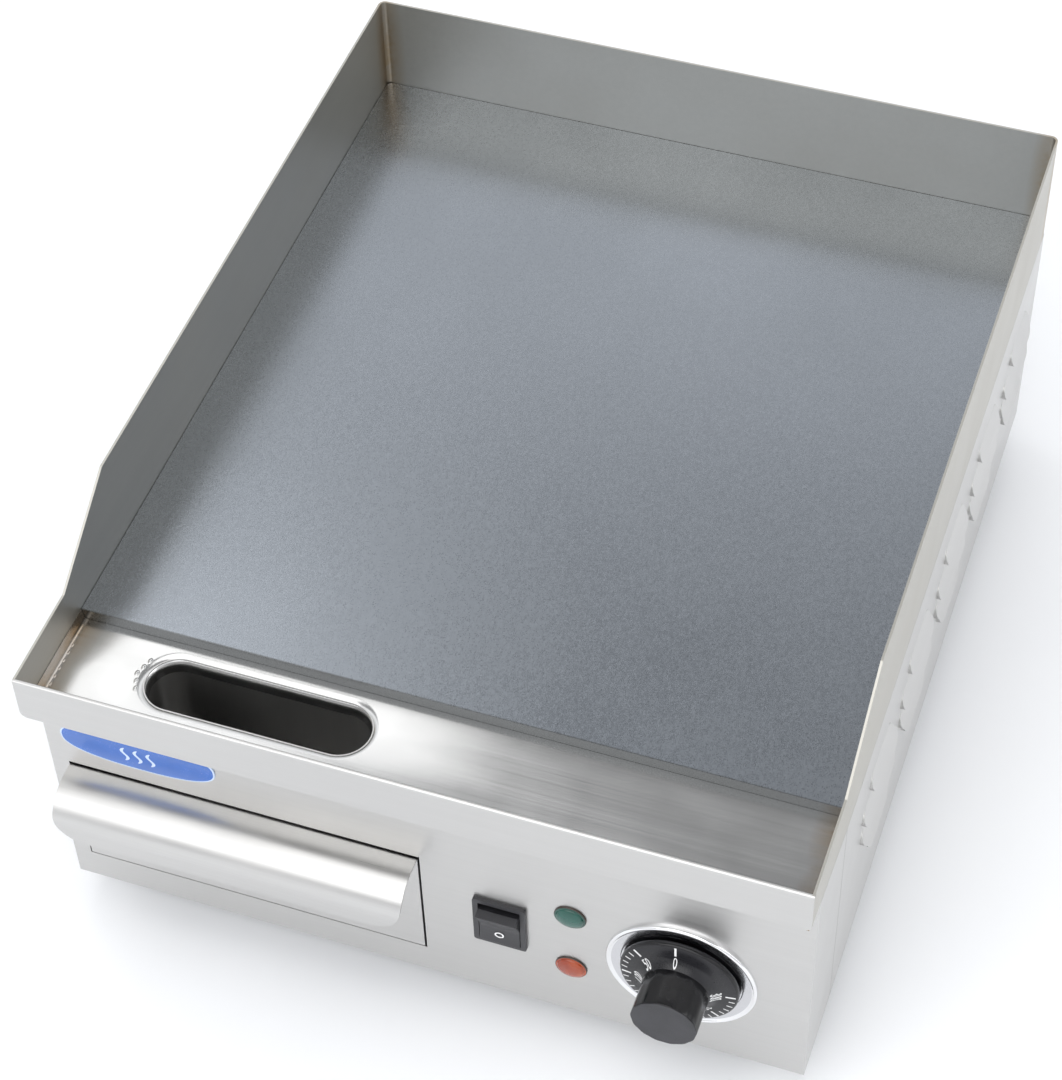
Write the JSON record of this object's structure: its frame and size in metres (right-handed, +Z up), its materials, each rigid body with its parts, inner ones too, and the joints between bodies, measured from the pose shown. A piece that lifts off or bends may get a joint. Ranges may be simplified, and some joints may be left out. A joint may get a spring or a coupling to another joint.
{
  "type": "flat top griddle",
  "caption": "Electric countertop griddle: steel plate in a splash guard, grease trough with drain slot, slide-out drawer, rocker switch and thermostat knob.",
  "frame": {"origin": "on the floor under the middle of the griddle's box", "axes": "+Z up, +Y from the controls to the back, +X to the right seen from the front"},
  "size_m": [0.407, 0.528, 0.24],
  "materials": {
    "stainless": "brushed",
    "plate_steel": "ground satin",
    "zinc_steel": "zinc plated",
    "foot_rubber": "matte",
    "switch_black": "satin",
    "gland_nylon": "satin",
    "green_lens": "translucent",
    "orange_lens": "translucent",
    "lamp_nylon": "satin",
    "bezel_chrome": "polished with satin ring",
    "thermostat_case": "moulded",
    "knob_black": "gloss sides, satin end",
    "copper": "drawn copper",
    "element_sheath": "heat darkened",
    "ceramic_fibre": "needled blanket",
    "terminal_ceramic": "unglazed",
    "wire_silicone": "satin",
    "brass": "turned",
    "badge_blue": "gloss"
  },
  "bodies": {
    "root": {"griddle_plate": "plate_steel", "splash_guard": "stainless", "grease_trough": "stainless", "drain_chute": "stainless", "front_panel": "stainless", "side_panel_left": "stainless", "side_panel_right": "stainless", "rear_panel": "stainless", "base_plate": "stainless", "body_screws": "zinc_steel", "foot_front_left": "foot_rubber", "foot_front_right": "foot_rubber", "foot_rear_left": "foot_rubber", "foot_rear_right": "foot_rubber", "foot_screws": "zinc_steel", "foot_nuts": "zinc_steel", "drawer_runner_left": "zinc_steel", "drawer_runner_right": "zinc_steel", "switch_housing": "switch_black", "green_lamp_lens": "green_lens", "orange_lamp_lens": "orange_lens", "lamp_bodies": "lamp_nylon", "thermostat_bezel": "bezel_chrome", "thermostat_body": "thermostat_case", "thermostat_screws": "zinc_steel", "capillary_tube": "copper", "sensor_bulb": "copper", "bulb_clip": "zinc_steel", "heating_element_left": "element_sheath", "heating_element_middle": "element_sheath", "heating_element_right": "element_sheath", "element_clamp_bars": "zinc_steel", "clamp_studs": "zinc_steel", "clamp_nuts": "zinc_steel", "insulation_blanket": "ceramic_fibre", "heat_shield": "zinc_steel", "terminal_block": "terminal_ceramic", "wiring_loom": "wire_silicone", "gland_body": "gland_nylon", "gland_cap": "gland_nylon", "gland_nut": "gland_nylon", "earth_stud": "brass", "earth_nut": "brass", "badge": "badge_blue"},
    "drawer": {"drawer_box": "stainless", "drawer_front": "stainless", "drawer_handle": "stainless"},
    "rocker": {"switch_rocker": "switch_black"},
    "knob": {"thermostat_knob": "knob_black", "thermostat_shaft": "zinc_steel"}
  },
  "joints": [
    {"name": "drawer_slide", "type": "slide", "parent": "root", "child": "drawer", "axis": [0, -1, 0], "range_m": [0, 0.25]},
    {"name": "rocker_tilt", "type": "hinge", "parent": "root", "child": "rocker", "pos_m": [0.0404, -0.231, 0.084], "axis": [-1, 0, 0], "range_deg": [0, 22]},
    {"name": "knob_turn", "type": "hinge", "parent": "root", "child": "knob", "pos_m": [0.1348, -0.236, 0.0847], "axis": [0, 1, 0], "range_deg": [0, 269]}
  ]
}
